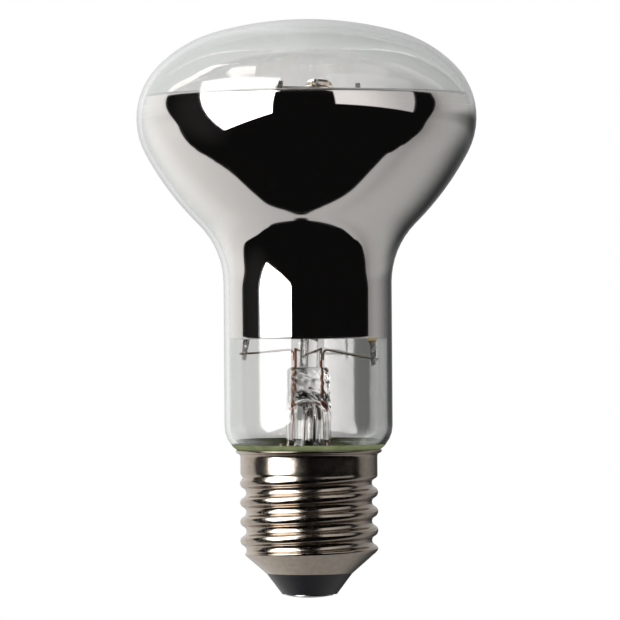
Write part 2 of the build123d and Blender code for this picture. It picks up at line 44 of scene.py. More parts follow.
def hexColour(code):
    channels = [int(code[i:i + 2], 16) / 255 for i in (1, 3, 5)]
    return (*[c / 12.92 if c <= 0.04045 else ((c + 0.055) / 1.055) ** 2.4 for c in channels], 1.0)


def addNode(tree, kind, inputs=None, **settings):
    # an input takes a value, another node's output, or a node, which stands for its first output
    node = tree.nodes.new("ShaderNode" + kind)
    for name, value in settings.items():
        setattr(node, name, value)
    for name, value in (inputs or {}).items():
        if isinstance(value, bpy.types.Node):
            value = next(output for output in value.outputs if output.enabled)
        if isinstance(value, bpy.types.NodeSocket):
            tree.links.new(value, node.inputs[name])
        else:
            node.inputs[name].default_value = value
    return node


def newMaterial(name):
    material = bpy.data.materials.new(name)
    material.use_nodes = True
    material.node_tree.nodes.clear()
    return material, material.node_tree


def fillRamp(ramp, low, high, stops, smooth=False):
    # grey stops on a colour ramp whose input runs from low to high
    bar = ramp.color_ramp
    bar.interpolation = "CARDINAL" if smooth else "LINEAR"
    for index, (place, level) in enumerate(stops):
        spot = bar.elements[index] if index < 2 else bar.elements.new(1.0)
        spot.position = (place - low) / (high - low)
        spot.color = (level, level, level, 1.0)
    return ramp


# What the glass and the metal mirror. An azimuth is in degrees from the camera's side, left negative.
studio = {
    "cameraDistance": 0.957,
    "cameraHeight": 0.0489,
    "lens": 293.8,
    "shift": (0.0032, 0.0468),
    "roll": -0.4,
    "plainLight": 0.95,  # what falls on everything that isn't a mirror
    # grey level of the sweep behind the lamp by azimuth, for rays that rise, run level and fall
    "rearHigh": [(-180, 0.72), (-176.5, 0.85), (-170, 0.86), (-160, 0.94), (-150, 0.99), (-140, 1.0),
                 (-130, 0.92), (-110, 0.78), (-95, 0.7), (-60, 0.6), (60, 0.2), (98, 0.2), (110, 0.38),
                 (122, 0.45), (140, 0.48), (162, 0.48), (170, 0.56), (177, 0.62), (180, 0.72)],
    "rearLevel": [(-180, 0.72), (-176, 0.7), (-170, 0.74), (-160, 0.84), (-150, 0.9), (-140, 0.95),
                  (-130, 0.88), (-118, 0.75), (-100, 0.66), (-60, 0.6), (60, 0.2), (90, 0.2),
                  (100, 0.27), (110, 0.33), (120, 0.3), (130, 0.22), (140, 0.15), (152, 0.06),
                  (160, 0.05), (166, 0.12), (172, 0.22), (176, 0.16), (178, 0.17), (178.8, 0.36),
                  (179.4, 0.66), (180, 0.72)],
    "rearLow": [(-180, 0.72), (-170, 0.76), (-150, 0.87), (-140, 0.96), (-130, 0.92), (-118, 0.79),
                (-100, 0.72), (-60, 0.6), (60, 0.2), (92, 0.24), (102, 0.34), (112, 0.37), (168, 0.38),
                (180, 0.72)],
    # elevations over which each of these takes over from the one under it
    "nadirToLow": (-85.0, -15.0),
    "lowToLevel": (-6.5, -1.0),
    "levelToHigh": (1.0, 6.5),
    "nadirLevel": 0.42,
    # dark flag low behind the lamp: its middle, and the angles from it where its shade is full and gone
    "flag": {"azimuth": 160, "elevation": -18, "reach": (3, 40), "shade": 0.08},
    # how far back the dark front reaches: the direction's y on its edge, by the direction's x, with
    # more stops where the mirror shows the edge large
    "frontEdge": [(-1.0, 0.17), (-0.9, 0.175), (-0.84, 0.165), (-0.795, 0.13), (-0.752, 0.065),
                  (-0.714, 0.018), (-0.669, -0.022), (-0.615, -0.047), (-0.56, -0.054), (-0.49, -0.05),
                  (-0.435, -0.045), (-0.369, -0.035), (-0.302, -0.045), (-0.232, -0.056),
                  (-0.159, -0.062), (-0.084, -0.06), (-0.046, -0.064), (-0.008, -0.071), (0.03, -0.084),
                  (0.067, -0.093), (0.142, -0.11), (0.216, -0.119), (0.357, -0.124), (0.425, -0.131),
                  (0.52, -0.15), (0.6, -0.155), (0.67, -0.145), (0.71, -0.115), (0.8, -0.065),
                  (0.9, -0.03), (1.0, 0.015)],
    "frontRise": (0.27, 0.21),  # how much further back it reaches up high, at its left and right end
    "frontRiseBand": (-0.2, 0.3),  # the direction's z over which it does so
    "frontSoft": 0.008,
    "frontLevel": 0.004,
    "panelMargin": 10,  # degrees from a panel's left corners to where its level starts to change
    "stemLevel": 0.42,  # least light that comes out of the stem's folds
    "stemWalls": 6.5,  # a ray has passed more glass walls than this only in the stem
}
# each panel's corners as azimuth and elevation, and its level at its left and right side
panels = {
    "spill": {"corners": [(-66, -42), (-54, -20), (-62, 50), (-112, 45), (-104, -20)], "soft": 0.4,
              "levels": (0.015, 0.015)},
    "softbox": {"corners": [(-61, -21.8), (-23.4, -0.4), (-24, 53.5), (-92, 38)], "soft": 0.01,
                "levels": (5.5, 5.5)},
    "fillPanel": {"corners": [(20.3, 13), (78, 1.6), (90, 38), (20, 60)], "soft": 0.012,
                  "levels": (0.8, 0.45)},
}


def toDirection(azimuth, elevation):
    turn, rise = math.radians(azimuth), math.radians(elevation)
    return Vector((math.sin(turn) * math.cos(rise), -math.cos(turn) * math.cos(rise), math.sin(rise)))


def rearLight(tree, direction):
    # the pale sweep behind the lamp, with the same levels for a ray to the front as to the rear
    x, y, z = addNode(tree, "SeparateXYZ", {0: direction}).outputs
    depth = addNode(tree, "Math", {0: y}, operation="ABSOLUTE")
    behind = addNode(tree, "Math", {0: depth, 1: -1.0}, operation="MULTIPLY")
    turn = addNode(tree, "Math", {0: x, 1: behind}, operation="ARCTAN2")
    azimuth = addNode(tree, "Math", {0: turn, 1: math.degrees(1)}, operation="MULTIPLY")
    rise = addNode(tree, "Math", {0: z}, operation="ARCSINE")
    elevation = addNode(tree, "Math", {0: rise, 1: math.degrees(1)}, operation="MULTIPLY")

    share = addNode(tree, "MapRange", {"Value": azimuth, "From Min": -180.0, "From Max": 180.0})
    low, level, high = (fillRamp(addNode(tree, "ValToRGB", {0: share}), -180, 180, studio[stops])
                        for stops in ("rearLow", "rearLevel", "rearHigh"))

    flag = studio["flag"]
    middle = toDirection(flag["azimuth"], flag["elevation"])
    folded = addNode(tree, "CombineXYZ", {0: x, 1: depth, 2: z})
    near = addNode(tree, "VectorMath", {0: folded, 1: middle}, operation="DOT_PRODUCT")
    apart = addNode(tree, "Math", {0: near}, operation="ARCCOSINE")
    away = addNode(tree, "Math", {0: apart, 1: math.degrees(1)}, operation="MULTIPLY")
    shade = addNode(tree, "MapRange", {"Value": away, "From Min": flag["reach"][0],
                                       "From Max": flag["reach"][1], "To Min": flag["shade"]},
                    interpolation_type="SMOOTHSTEP")
    light = addNode(tree, "Math", {0: low, 1: shade}, operation="MULTIPLY")

    for band, upper in (("lowToLevel", level), ("levelToHigh", high)):
        begin, end = studio[band]
        climb = addNode(tree, "MapRange", {"Value": elevation, "From Min": begin, "From Max": end},
                        interpolation_type="SMOOTHSTEP")
        light = addNode(tree, "Mix", {0: climb, 2: light, 3: upper}, data_type="FLOAT")
    begin, end = studio["nadirToLow"]
    climb = addNode(tree, "MapRange", {"Value": elevation, "From Min": begin, "From Max": end})
    return addNode(tree, "Mix", {0: climb, 2: studio["nadirLevel"], 3: light}, data_type="FLOAT")


def frontLight(tree, direction, rear):
    # the dark front that cuts off the sweep
    x, y, z = addNode(tree, "SeparateXYZ", {0: direction}).outputs
    share = addNode(tree, "MapRange", {"Value": x, "From Min": -1.0})
    stops = [(place, reach + 0.5) for place, reach in studio["frontEdge"]]  # a ramp holds no negatives
    ramp = fillRamp(addNode(tree, "ValToRGB", {0: share}), -1, 1, stops, smooth=True)
    edge = addNode(tree, "Math", {0: ramp, 1: 0.5}, operation="SUBTRACT")

    left, right = studio["frontRise"]
    side = addNode(tree, "MapRange", {"Value": x, "From Min": -1.0, "To Min": left, "To Max": right})
    begin, end = studio["frontRiseBand"]
    climb = addNode(tree, "MapRange", {"Value": z, "From Min": begin, "From Max": end},
                    interpolation_type="SMOOTHSTEP")
    rise = addNode(tree, "Math", {0: climb, 1: side}, operation="MULTIPLY")
    edge = addNode(tree, "Math", {0: edge, 1: rise}, operation="ADD")

    soft = studio["frontSoft"]
    past = addNode(tree, "Math", {0: y, 1: edge}, operation="SUBTRACT")
    back = addNode(tree, "MapRange", {"Value": past, "From Min": -soft, "From Max": soft},
                   interpolation_type="SMOOTHSTEP")
    seen = addNode(tree, "Math", {0: rear, 1: back}, operation="MULTIPLY")
    return addNode(tree, "Math", {0: seen, 1: studio["frontLevel"]}, operation="ADD")


def addPanel(tree, direction, panel, seen):
    # a lit shape with straight sides, each side a plane through the lamp
    x, y, z = addNode(tree, "SeparateXYZ", {0: direction}).outputs
    ahead = addNode(tree, "Math", {0: y, 1: -1.0}, operation="MULTIPLY")
    turn = addNode(tree, "Math", {0: x, 1: ahead}, operation="ARCTAN2")
    azimuth = addNode(tree, "Math", {0: turn, 1: math.degrees(1)}, operation="MULTIPLY")

    ends = sorted(corner[0] for corner in panel["corners"])
    left, right = panel["levels"]
    lit = addNode(tree, "MapRange", {"Value": azimuth, "From Min": ends[1] + studio["panelMargin"],
                                     "From Max": ends[-2], "To Min": left, "To Max": right},
                  interpolation_type="SMOOTHSTEP")
    corners = [toDirection(*corner) for corner in panel["corners"]]
    for a, b in zip(corners, corners[1:] + corners[:1]):
        inward = b.cross(a).normalized()
        if inward.dot(sum(corners, Vector())) < 0:
            inward = -inward
        past = addNode(tree, "VectorMath", {0: direction, 1: inward}, operation="DOT_PRODUCT")
        inside = addNode(tree, "MapRange", {"Value": past, "From Min": -panel["soft"],
                                            "From Max": panel["soft"]}, interpolation_type="SMOOTHSTEP")
        lit = addNode(tree, "Math", {0: lit, 1: inside}, operation="MULTIPLY")
    return addNode(tree, "Math", {0: seen, 1: lit}, operation="MAXIMUM")


def makeWorld():
    world = bpy.data.worlds.new("studio")
    world.use_nodes = True
    world.cycles.sampling_method = "NONE"
    tree = world.node_tree
    tree.nodes.clear()
    direction = addNode(tree, "TexCoord").outputs["Generated"]
    rear = rearLight(tree, direction)
    seen = frontLight(tree, direction, rear)
    for panel in panels.values():
        seen = addPanel(tree, direction, panel, seen)

    # mirrored rays meet the studio, rays through clear glass the sweep, and matt surfaces plain light
    path = addNode(tree, "LightPath").outputs
    mirrored = addNode(tree, "Math", {0: path["Glossy Depth"], 1: 0.5}, operation="GREATER_THAN")
    scattered = addNode(tree, "Math", {0: path["Diffuse Depth"], 1: 0.5}, operation="GREATER_THAN")
    inStem = addNode(tree, "Math", {0: path["Transmission Depth"], 1: studio["stemWalls"]},
                     operation="GREATER_THAN")
    level = addNode(tree, "Mix", {0: mirrored, 2: rear, 3: seen}, data_type="FLOAT")
    least = addNode(tree, "Math", {0: inStem, 1: studio["stemLevel"]}, operation="MULTIPLY")
    level = addNode(tree, "Math", {0: level, 1: least}, operation="MAXIMUM")
    level = addNode(tree, "Mix", {0: scattered, 2: level, 3: studio["plainLight"]}, data_type="FLOAT")
    level = addNode(tree, "Mix", {0: path["Is Camera Ray"], 2: level, 3: 1.0}, data_type="FLOAT")
    background = addNode(tree, "Background", {"Color": (1, 1, 1, 1), "Strength": level})
    addNode(tree, "OutputWorld", {0: background})
    scene.world = world


def makeCamera():
    data = bpy.data.cameras.new("camera")
    data.lens = studio["lens"]
    data.shift_x, data.shift_y = studio["shift"]
    data.clip_start, data.clip_end = 0.01, 50
    camera = bpy.data.objects.new("camera", data)
    scene.collection.objects.link(camera)
    camera.matrix_world = (Matrix.Translation((0, -studio["cameraDistance"], studio["cameraHeight"]))
                           @ Matrix.Rotation(math.pi / 2, 4, "X")
                           @ Matrix.Rotation(math.radians(studio["roll"]), 4, "Z"))
    scene.camera = camera


def finishMesh(bm, name, smooth=True):
    mesh = bpy.data.meshes.new(name)
    bm.to_mesh(mesh)
    bm.free()
    if smooth:
        mesh.shade_smooth()
    piece = bpy.data.objects.new(name, mesh)
    scene.collection.objects.link(piece)
    return piece


floorSheet = {
    "radius": 1.5,
    "drop": 0.25,  # how far under the lamp it lies, so that no shadow shows
    "paper": "#f4f4f2",
    "steps": 96,
}


def makeFloor():
    bm = bmesh.new()
    bmesh.ops.create_circle(bm, cap_ends=True, segments=floorSheet["steps"],
                            radius=floorSheet["radius"])
    bmesh.ops.translate(bm, verts=bm.verts, vec=(0, 0, -floorSheet["drop"]))
    floor = finishMesh(bm, "floor", smooth=False)
    # matt paper that the camera sees as pure white, open to a view from below
    material, tree = newMaterial("paleFloor")
    toCamera = addNode(tree, "LightPath").outputs["Is Camera Ray"]
    paper = addNode(tree, "BsdfDiffuse", {"Color": hexColour(floorSheet["paper"])})
    white = addNode(tree, "Emission", {"Strength": 1.0})
    above = addNode(tree, "MixShader", {0: toCamera, 1: paper, 2: white})
    below = addNode(tree, "NewGeometry").outputs["Backfacing"]
    clear = addNode(tree, "BsdfTransparent")
    sheet = addNode(tree, "MixShader", {0: below, 1: above, 2: clear})
    addNode(tree, "OutputMaterial", {0: sheet})
    floor.data.materials.append(material)
    floor.visible_glossy = floor.visible_transmission = False  # metal and glass show the studio


def sine(angle):
    return math.sin(math.radians(angle))


def cosine(angle):
    return math.cos(math.radians(angle))


def clamp(share):
    return min(max(share, 0.0), 1.0)


def ease(share):
    share = clamp(share)
    return share * share * (3 - 2 * share)


# how an arc of an outline is cut into pieces, in mm: an arc under the small radius gets as many as
# one of that radius
arcPieces = {"length": 1.6, "smallRadius": 3.0, "fewest": 4}


def outlineEnd(start, moves):
    # An outline starts at a radius, a height and a slope, which is 0 where it runs level outwards and
    # 90 where it runs straight down. A move is an arc that bulges out or curves in, with its radius
    # and the slope where it ends, or a line with its length and the pieces that it is cut into.
    r, z, slope = start
    for kind, size, *rest in moves:
        if kind == "line":
            r, z = r + size * cosine(slope), z - size * sine(slope)
            continue
        bulge = size if kind == "out" else -size
        r += bulge * (sine(rest[0]) - sine(slope))
        z += bulge * (cosine(rest[0]) - cosine(slope))
        slope = rest[0]
    return r, z


def drawOutline(bm, start, moves, inset=0.0, fine=1.0):
    r, z, slope = start
    vert = bm.verts.new(Vector((r - inset * sine(slope), 0, z - inset * cosine(slope))) * mm)
    for kind, size, *rest in moves:
        if kind == "line":
            pieces = rest[0] if rest else 1
            step = Vector((cosine(slope), 0, -sine(slope))) * size * mm / pieces
            for _ in range(pieces):
                vert = bmesh.ops.extrude_vert_indiv(bm, verts=[vert])["verts"][0]
                vert.co += step
            continue
        side = 1 if kind == "out" else -1
        radius = size - side * inset
        centre = vert.co - side * radius * mm * Vector((sine(slope), 0, cosine(slope)))
        turn = math.radians(rest[0] - slope)
        length = abs(turn) * max(radius, arcPieces["smallRadius"])
        steps = max(arcPieces["fewest"], round(fine * length / arcPieces["length"]))
        swept = bmesh.ops.spin(bm, geom=[vert], cent=centre, axis=(0, 1, 0), angle=turn, steps=steps)
        vert = swept["geom_last"][0]
        slope = rest[0]
    return vert


def turnOutline(bm, steps):
    geom = bm.verts[:] + bm.edges[:]
    bmesh.ops.spin(bm, geom=geom, cent=(0, 0, 0), axis=(0, 0, 1), angle=2 * math.pi, steps=steps,
                   use_merge=True)
    bmesh.ops.remove_doubles(bm, verts=bm.verts, dist=1e-7)
    bmesh.ops.recalc_face_normals(bm, faces=bm.faces)


def thicken(piece, wall):
    solid = piece.modifiers.new("wall", "SOLIDIFY")
    solid.thickness = wall * mm
    solid.offset = -1
    solid.use_even_offset = True
    return piece


def twoSizes(sample, share, finer):
    # noise in big lumps with a share of finer ones on them
    return noise.noise(sample) + share * noise.noise(sample * finer)


bulb = {
    "height": 109.3,
    "radius": 32.15,
    "domeSlope": 15.8,
    "shoulderRadius": 23.9,
    "shoulderSlope": 46.0,
    "beltRadius": 14.1,
    "beltSlope": 118.0,
    "flankSlope": 134.5,
    "flankRun": 1.0,
    "throatRadius": 15.7,
    "neckRadius": 15.9,
    "footHeight": 32.5,  # where the neck starts to round in towards the cap
    "footRadius": 5.5,
    "footSlope": 145.0,
    "sealRadius": 11.9,
    "sealBottom": 23.8,
    "wall": 0.9,
    "neckPieces": 24,
    "steps": 192,
}
film = {
    "gap": 0.02,
    "thickness": 0.15,
    "top": 94.8,
    "bottom": 48.9,
}


def sealCurve():
    drawnIn = bulb["neckRadius"] - bulb["footRadius"] * (1 - sine(bulb["footSlope"]))
    return (drawnIn - bulb["sealRadius"]) / (1 - sine(bulb["footSlope"]))


def drawBulb(bm, inset=0.0):
    # tangent arcs all the way down: the dome's and the flank's radius follow from the others
    shoulder, belt, throat = bulb["shoulderRadius"], bulb["beltRadius"], bulb["throatRadius"]
    dome = sine(bulb["domeSlope"])
    onShoulder, onBelt = sine(bulb["shoulderSlope"]), sine(bulb["beltSlope"])
    onFlank = sine(bulb["flankSlope"])
    domeEnd = bulb["radius"] - belt * (1 - onShoulder) - shoulder * (onShoulder - dome)
    flankStart = bulb["radius"] - belt * (1 - onBelt)
    flankEnd = (bulb["neckRadius"] + throat * (1 - onFlank)
                - bulb["flankRun"] * cosine(bulb["flankSlope"]))
    upper = [
        ("out", domeEnd / dome, bulb["domeSlope"]),
        ("out", shoulder, bulb["shoulderSlope"]),
        ("out", belt, bulb["beltSlope"]),
        ("out", (flankStart - flankEnd) / (onBelt - onFlank), bulb["flankSlope"]),
        ("line", bulb["flankRun"]),
        ("in", throat, 90.0),
    ]
    start = (0.0, bulb["height"], 0.0)
    neck = ("line", outlineEnd(start, upper)[1] - bulb["footHeight"], bulb["neckPieces"])
    lower = [("out", bulb["footRadius"], bulb["footSlope"]), ("in", sealCurve(), 90.0)]
    sealTop = outlineEnd(start, [*upper, neck, *lower])[1]
    drawOutline(bm, start, [*upper, neck, *lower, ("line", sealTop - bulb["sealBottom"])], inset)


def makeGlass():
    bm = bmesh.new()
    drawBulb(bm)
    turnOutline(bm, bulb["steps"])
    return thicken(finishMesh(bm, "glassBulb"), bulb["wall"])


def makeFilm():
    bm = bmesh.new()
    drawBulb(bm, inset=bulb["wall"] + film["gap"])
    turnOutline(bm, bulb["steps"])
    for height, up in ((film["top"], 1), (film["bottom"], -1)):
        geom = bm.verts[:] + bm.edges[:] + bm.faces[:]
        bmesh.ops.bisect_plane(bm, geom=geom, plane_co=(0, 0, height * mm), plane_no=(0, 0, up),
                               clear_outer=True)
    return thicken(finishMesh(bm, "mirrorFilm"), film["thickness"])


shell = {
    "lipTop": 27.9,
    "lipHeight": 1.2,
    "lipFlare": 0.88,
    "skirtRadius": 12.97,
    "skirtBottom": 22.0,
    "crestRadius": 13.05,
    "crestHeight": 9.0,  # of a crest on the right-hand side
    "depth": 1.15,
    "pitch": 3.62,
    "runOut": 1.6,
    "bottom": 4.6,
    "bottomRadius": 8.15,
    "coneSlope": 1.15,
    "coneBlend": 0.6,
    "sheet": 0.3,
    "row": 0.1,  # height of a row of faces on the thread
    "skirtPieces": 4,
    "steps": 192,
}


def shellRadius(z, turn):
    # crests and roots are equal arcs, which fade into the skirt above and the cone below
    pitch, depth = shell["pitch"], shell["depth"]
    arc = (pitch ** 2 / 4 + depth ** 2) / (4 * depth)
    pitches = (z - shell["crestHeight"]) / pitch - turn
    fromCrest = abs(pitches - round(pitches)) * pitch
    fromRoot = pitch / 2 - fromCrest
    if fromCrest < fromRoot:
        groove = arc - math.sqrt(arc ** 2 - fromCrest ** 2)
    else:
        groove = depth - arc + math.sqrt(arc ** 2 - fromRoot ** 2)
    thread = shell["crestRadius"] - shell["skirtRadius"] - groove
    rolled = shell["skirtRadius"] + thread * (1 - ease((z - shell["skirtBottom"]) / shell["runOut"]))
    cone = shell["bottomRadius"] + (z - shell["bottom"]) * shell["coneSlope"]
    overlap = max(shell["coneBlend"] - abs(cone - rolled), 0.0) / shell["coneBlend"]
    return min(cone, rolled) - overlap * overlap * shell["coneBlend"] / 4


def makeShell():
    # the lip is two equal arcs, and the thread is pushed into a straight wall under the skirt
    lipTurn = 2 * math.degrees(math.atan2(shell["lipFlare"], shell["lipHeight"]))
    lipArc = shell["lipHeight"] / sine(lipTurn) / 2
    threadTop = shell["skirtBottom"] + shell["runOut"]
    threadRun = threadTop - shell["bottom"]
    moves = [
        ("out", lipArc, 90.0 + lipTurn),
        ("in", lipArc, 90.0),
        ("line", shell["lipTop"] - shell["lipHeight"] - threadTop, shell["skirtPieces"]),
        ("line", threadRun, round(threadRun / shell["row"])),
    ]
    bm = bmesh.new()
    start = (shell["skirtRadius"] + shell["lipFlare"], shell["lipTop"], 90.0)
    drawOutline(bm, start, moves, fine=3.0)
    turnOutline(bm, shell["steps"])
    for vert in bm.verts:
        z = vert.co.z / mm
        if z < threadTop - shell["row"] / 100:
            angle = math.atan2(vert.co.y, vert.co.x)
            r = shellRadius(z, angle / (2 * math.pi)) * mm
            vert.co.x, vert.co.y = r * math.cos(angle), r * math.sin(angle)
    return thicken(finishMesh(bm, "capShell"), shell["sheet"])


stem = {
    "top": 43.6,
    "foot": 23.8,
    "tubeRadius": 4.3,
    "wall": 1.0,
    "topRound": 0.9,
    "flareRadius": 4.6,
    "rimRadius": 10.98,
    "rimRound": 0.4,
    "hollowRun": 4.2,  # straight part of the tube's hollow, under its round top
    "pinch": (35.2, 39.4),  # heights over which the tube goes from round to flat
    "pressHalf": (4.0, 1.95),  # half the width and half the thickness of the flat part
    "fold": 0.42,  # how far the folds stand out
    "foldSize": (2.1, 2.1, 1.0),
    "foldSlant": 0.5,
    "fineFolds": (0.5, 2.3),  # share of finer folds, and how many times finer they are
    "foldFade": (1.5, 2.0),  # heights over which they come in above the tube and die away at the top
    "foldAtTop": 0.15,
    "flute": 0.7,  # depth of the flutes down the hollow
    "fluteCount": 2.4,
    "fluteTwist": 0.05,
    "fluteFade": (0.4, 1.0, 1.2),  # fade at the wall, radius of the plain middle, fade round it
    "hollowTop": 37.4,  # the faces under this, and further in than the edge, are the hollow's
    "hollowEdge": 0.5,
    "pieces": {"top": 12, "side": 56, "rim": 3, "hollow": 6},
    "steps": 128,
}


def drawStem(bm):
    # down the outside, then round the rim and up the hollow
    tube, wall, flare, pieces = stem["tubeRadius"], stem["wall"], stem["flareRadius"], stem["pieces"]
    flareTop = stem["foot"] + wall + flare
    flat = ("line", stem["rimRadius"] - stem["rimRound"] - tube - flare, pieces["rim"])
    start = (0.0, stem["top"], 0.0)
    outside = [
        ("line", tube - stem["topRound"], pieces["top"]),
        ("out", stem["topRound"], 90),
        ("line", stem["top"] - stem["topRound"] - flareTop, pieces["side"]),
        ("in", flare, 0),
        flat,
    ]
    drawOutline(bm, start, outside)
    inside = [
        ("out", stem["rimRound"], 90),
        ("line", wall - 2 * stem["rimRound"]),
        ("out", stem["rimRound"], 180),
        flat,
        ("out", flare + wall, 270),
        ("line", stem["hollowRun"], pieces["hollow"]),
        ("in", tube - wall, 180),
    ]
    drawOutline(bm, (*outlineEnd(start, outside), 0.0), inside, fine=1.5)


def fluteHollow(x, y, z):
    # shallow flutes run down the hollow's wall
    edge = stem["tubeRadius"] - stem["hollowEdge"]
    atWall, plain, atMiddle = stem["fluteFade"]
    around = math.hypot(x, y)
    if around <= plain:
        return Vector((x, y, z))
    sample = Vector((x, y, 0.0)) / around * stem["fluteCount"] + Vector((0, 0, stem["fluteTwist"] * z))
    fade = clamp((edge - around) / atWall) * min((around - plain) / atMiddle, 1.0)
    grown = 1 + stem["flute"] * noise.noise(sample) * fade / around
    return Vector((x * grown, y * grown, z))


def pinchTube(x, y, z):
    # flattens the tube's hot end and pushes its skin in and out along the folds
    low, high = stem["pinch"]
    half = stem["pressHalf"]
    press = ease((z - low) / (high - low))
    if press == 0.0:
        return Vector((x, y, z))
    x *= 1 + press * (half[0] / stem["tubeRadius"] - 1)
    y *= 1 + press * (half[1] / stem["tubeRadius"] - 1)
    size = stem["foldSize"]
    sample = Vector((x / size[0], y / size[1], (z + stem["foldSlant"] * x) / size[2]))
    above, under = stem["foldFade"]
    fade = clamp((z - low) / above) * min(max((stem["top"] - z) / under, stem["foldAtTop"]), 1.0)
    out = Vector((x, y * (half[0] / half[1]) ** 2, 0.0))
    if out.length > 0.01:
        out = out.normalized() * twoSizes(sample, *stem["fineFolds"]) * stem["fold"] * fade
    return Vector((x + out.x, y + out.y, z))


def makeStem():
    # a tube pinched flat at its hot end, where the folds of the pinch stay, with a fluted hollow
    bm = bmesh.new()
    drawStem(bm)
    turnOutline(bm, stem["steps"])
    edge = stem["tubeRadius"] - stem["hollowEdge"]
    for vert in bm.verts:
        x, y, z = vert.co / mm
        inHollow = z < stem["hollowTop"] and math.hypot(x, y) < edge
        vert.co = (fluteHollow if inHollow else pinchTube)(x, y, z) * mm
    return finishMesh(bm, "stemGlass")


rod = {
    "radius": 1.7,
    "buttonTop": 98.305,
    "buttonRadius": 2.6,
    "buttonRound": 1.5,
    "underSlope": 140.0,
    "length": 52.0,  # more than it needs: it is cut off level at its foot
    "foot": 43.62,
    "lean": 2.6,
    "pieces": {"top": 3, "side": 40},
    "steps": 64,
}


def makeRod():
    # a rod with a button on top, leaning to the right about the top of the stem
    underRadius = rod["buttonRadius"] - rod["buttonRound"] * (1 - sine(rod["underSlope"]))
    moves = [
        ("line", rod["buttonRadius"] - rod["buttonRound"], rod["pieces"]["top"]),
        ("out", rod["buttonRound"], rod["underSlope"]),
        ("in", (underRadius - rod["radius"]) / (1 - sine(rod["underSlope"])), 90),
        ("line", rod["length"], rod["pieces"]["side"]),
    ]
    bm = bmesh.new()
    drawOutline(bm, (0.0, rod["buttonTop"], 0.0), moves, fine=2.0)
    turnOutline(bm, rod["steps"])
    lean = Matrix.Rotation(math.radians(rod["lean"]), 3, "Y")
    bmesh.ops.rotate(bm, verts=bm.verts, cent=(0, 0, stem["top"] * mm), matrix=lean)
    geom = bm.verts[:] + bm.edges[:] + bm.faces[:]
    cut = bmesh.ops.bisect_plane(bm, geom=geom, plane_co=(0, 0, rod["foot"] * mm), plane_no=(0, 0, -1),
                                 clear_outer=True)
    ring = [edge for edge in cut["geom_cut"] if isinstance(edge, bmesh.types.BMEdge)]
    bmesh.ops.holes_fill(bm, edges=ring, sides=0)
    for edge in ring:
        edge.smooth = False
    bmesh.ops.recalc_face_normals(bm, faces=bm.faces)
    return finishMesh(bm, "supportRod")


exhaust = {
    "radius": 1.7,
    "top": 36.38,
    "tip": 21.4,
    "wall": 0.7,
    "pieces": 4,
    "steps": 64,
}


def makeExhaust():
    # a thin tube, melted shut in a round tip
    radius = exhaust["radius"]
    side = ("line", exhaust["top"] - exhaust["tip"] - radius, exhaust["pieces"])
    bm = bmesh.new()
    drawOutline(bm, (radius, exhaust["top"], 90.0), [side, ("out", radius, 180)], fine=2.0)
    turnOutline(bm, exhaust["steps"])
    return thicken(finishMesh(bm, "exhaustTube"), exhaust["wall"])


cement = {
    "topSlope": 129.5,  # how far up the bulb's foot the bead creeps
    # from the glass round the ring's foot and up the skirt, along the lip, and back over the bead
    "foot": [("line", 0.85), ("in", 0.1, 0), ("line", 0.55), ("in", 0.1, -90), ("line", 2.72, 3)],
    "lip": [("out", 0.31, -17.5), ("in", 0.95, -90)],
    "bead": [("out", 0.9, -45), ("line", 0.62, 3), ("in", 0.12, -225)],
    "gap": 0.02,
    "beadBottom": 27.95,
    "lump": 0.16,  # how far the lumps stand out
    "lumpSize": 1.3,
    "fineLumps": (0.6, 3.1),
    "lumpFade": 0.25,  # they die away this near the glass
    "sag": 0.5,  # how far a lump sinks for each part that it stands out
    "steps": 256,
}


def makeCement():
    # a ring between the glass and the shell, with a hand-pressed bead that creeps up the bulb's foot
    footRadius, gap = bulb["footRadius"], cement["gap"]
    middle = (bulb["neckRadius"] - footRadius, bulb["footHeight"])
    slope = cement["topSlope"]
    start = (middle[0] + footRadius * sine(slope), middle[1] + footRadius * cosine(slope), slope)
    onGlass = [("out", footRadius, bulb["footSlope"]), ("in", sealCurve(), 90)]
    moves = onGlass + cement["foot"] + cement["lip"] + cement["bead"]
    bm = bmesh.new()
    last = drawOutline(bm, start, moves, inset=-gap, fine=3.0)
    bm.verts.ensure_lookup_table()
    bmesh.ops.contextual_create(bm, geom=[bm.verts[0], last])
    turnOutline(bm, cement["steps"])
    for vert in bm.verts:
        x, y, z = vert.co / mm
        around = math.hypot(x, y)
        clear = math.hypot(around - middle[0], z - middle[1]) - footRadius - 2 * gap
        if z > cement["beadBottom"] and clear > 0:
            push = twoSizes(Vector((x, y, z)) / cement["lumpSize"], *cement["fineLumps"])
            share = min(clear / cement["lumpFade"], 1.0) * cement["lump"] * push
            grown = 1 + share / around
            vert.co = Vector((x * grown, y * grown, z - cement["sag"] * abs(share))) * mm
    return finishMesh(bm, "cementBead")


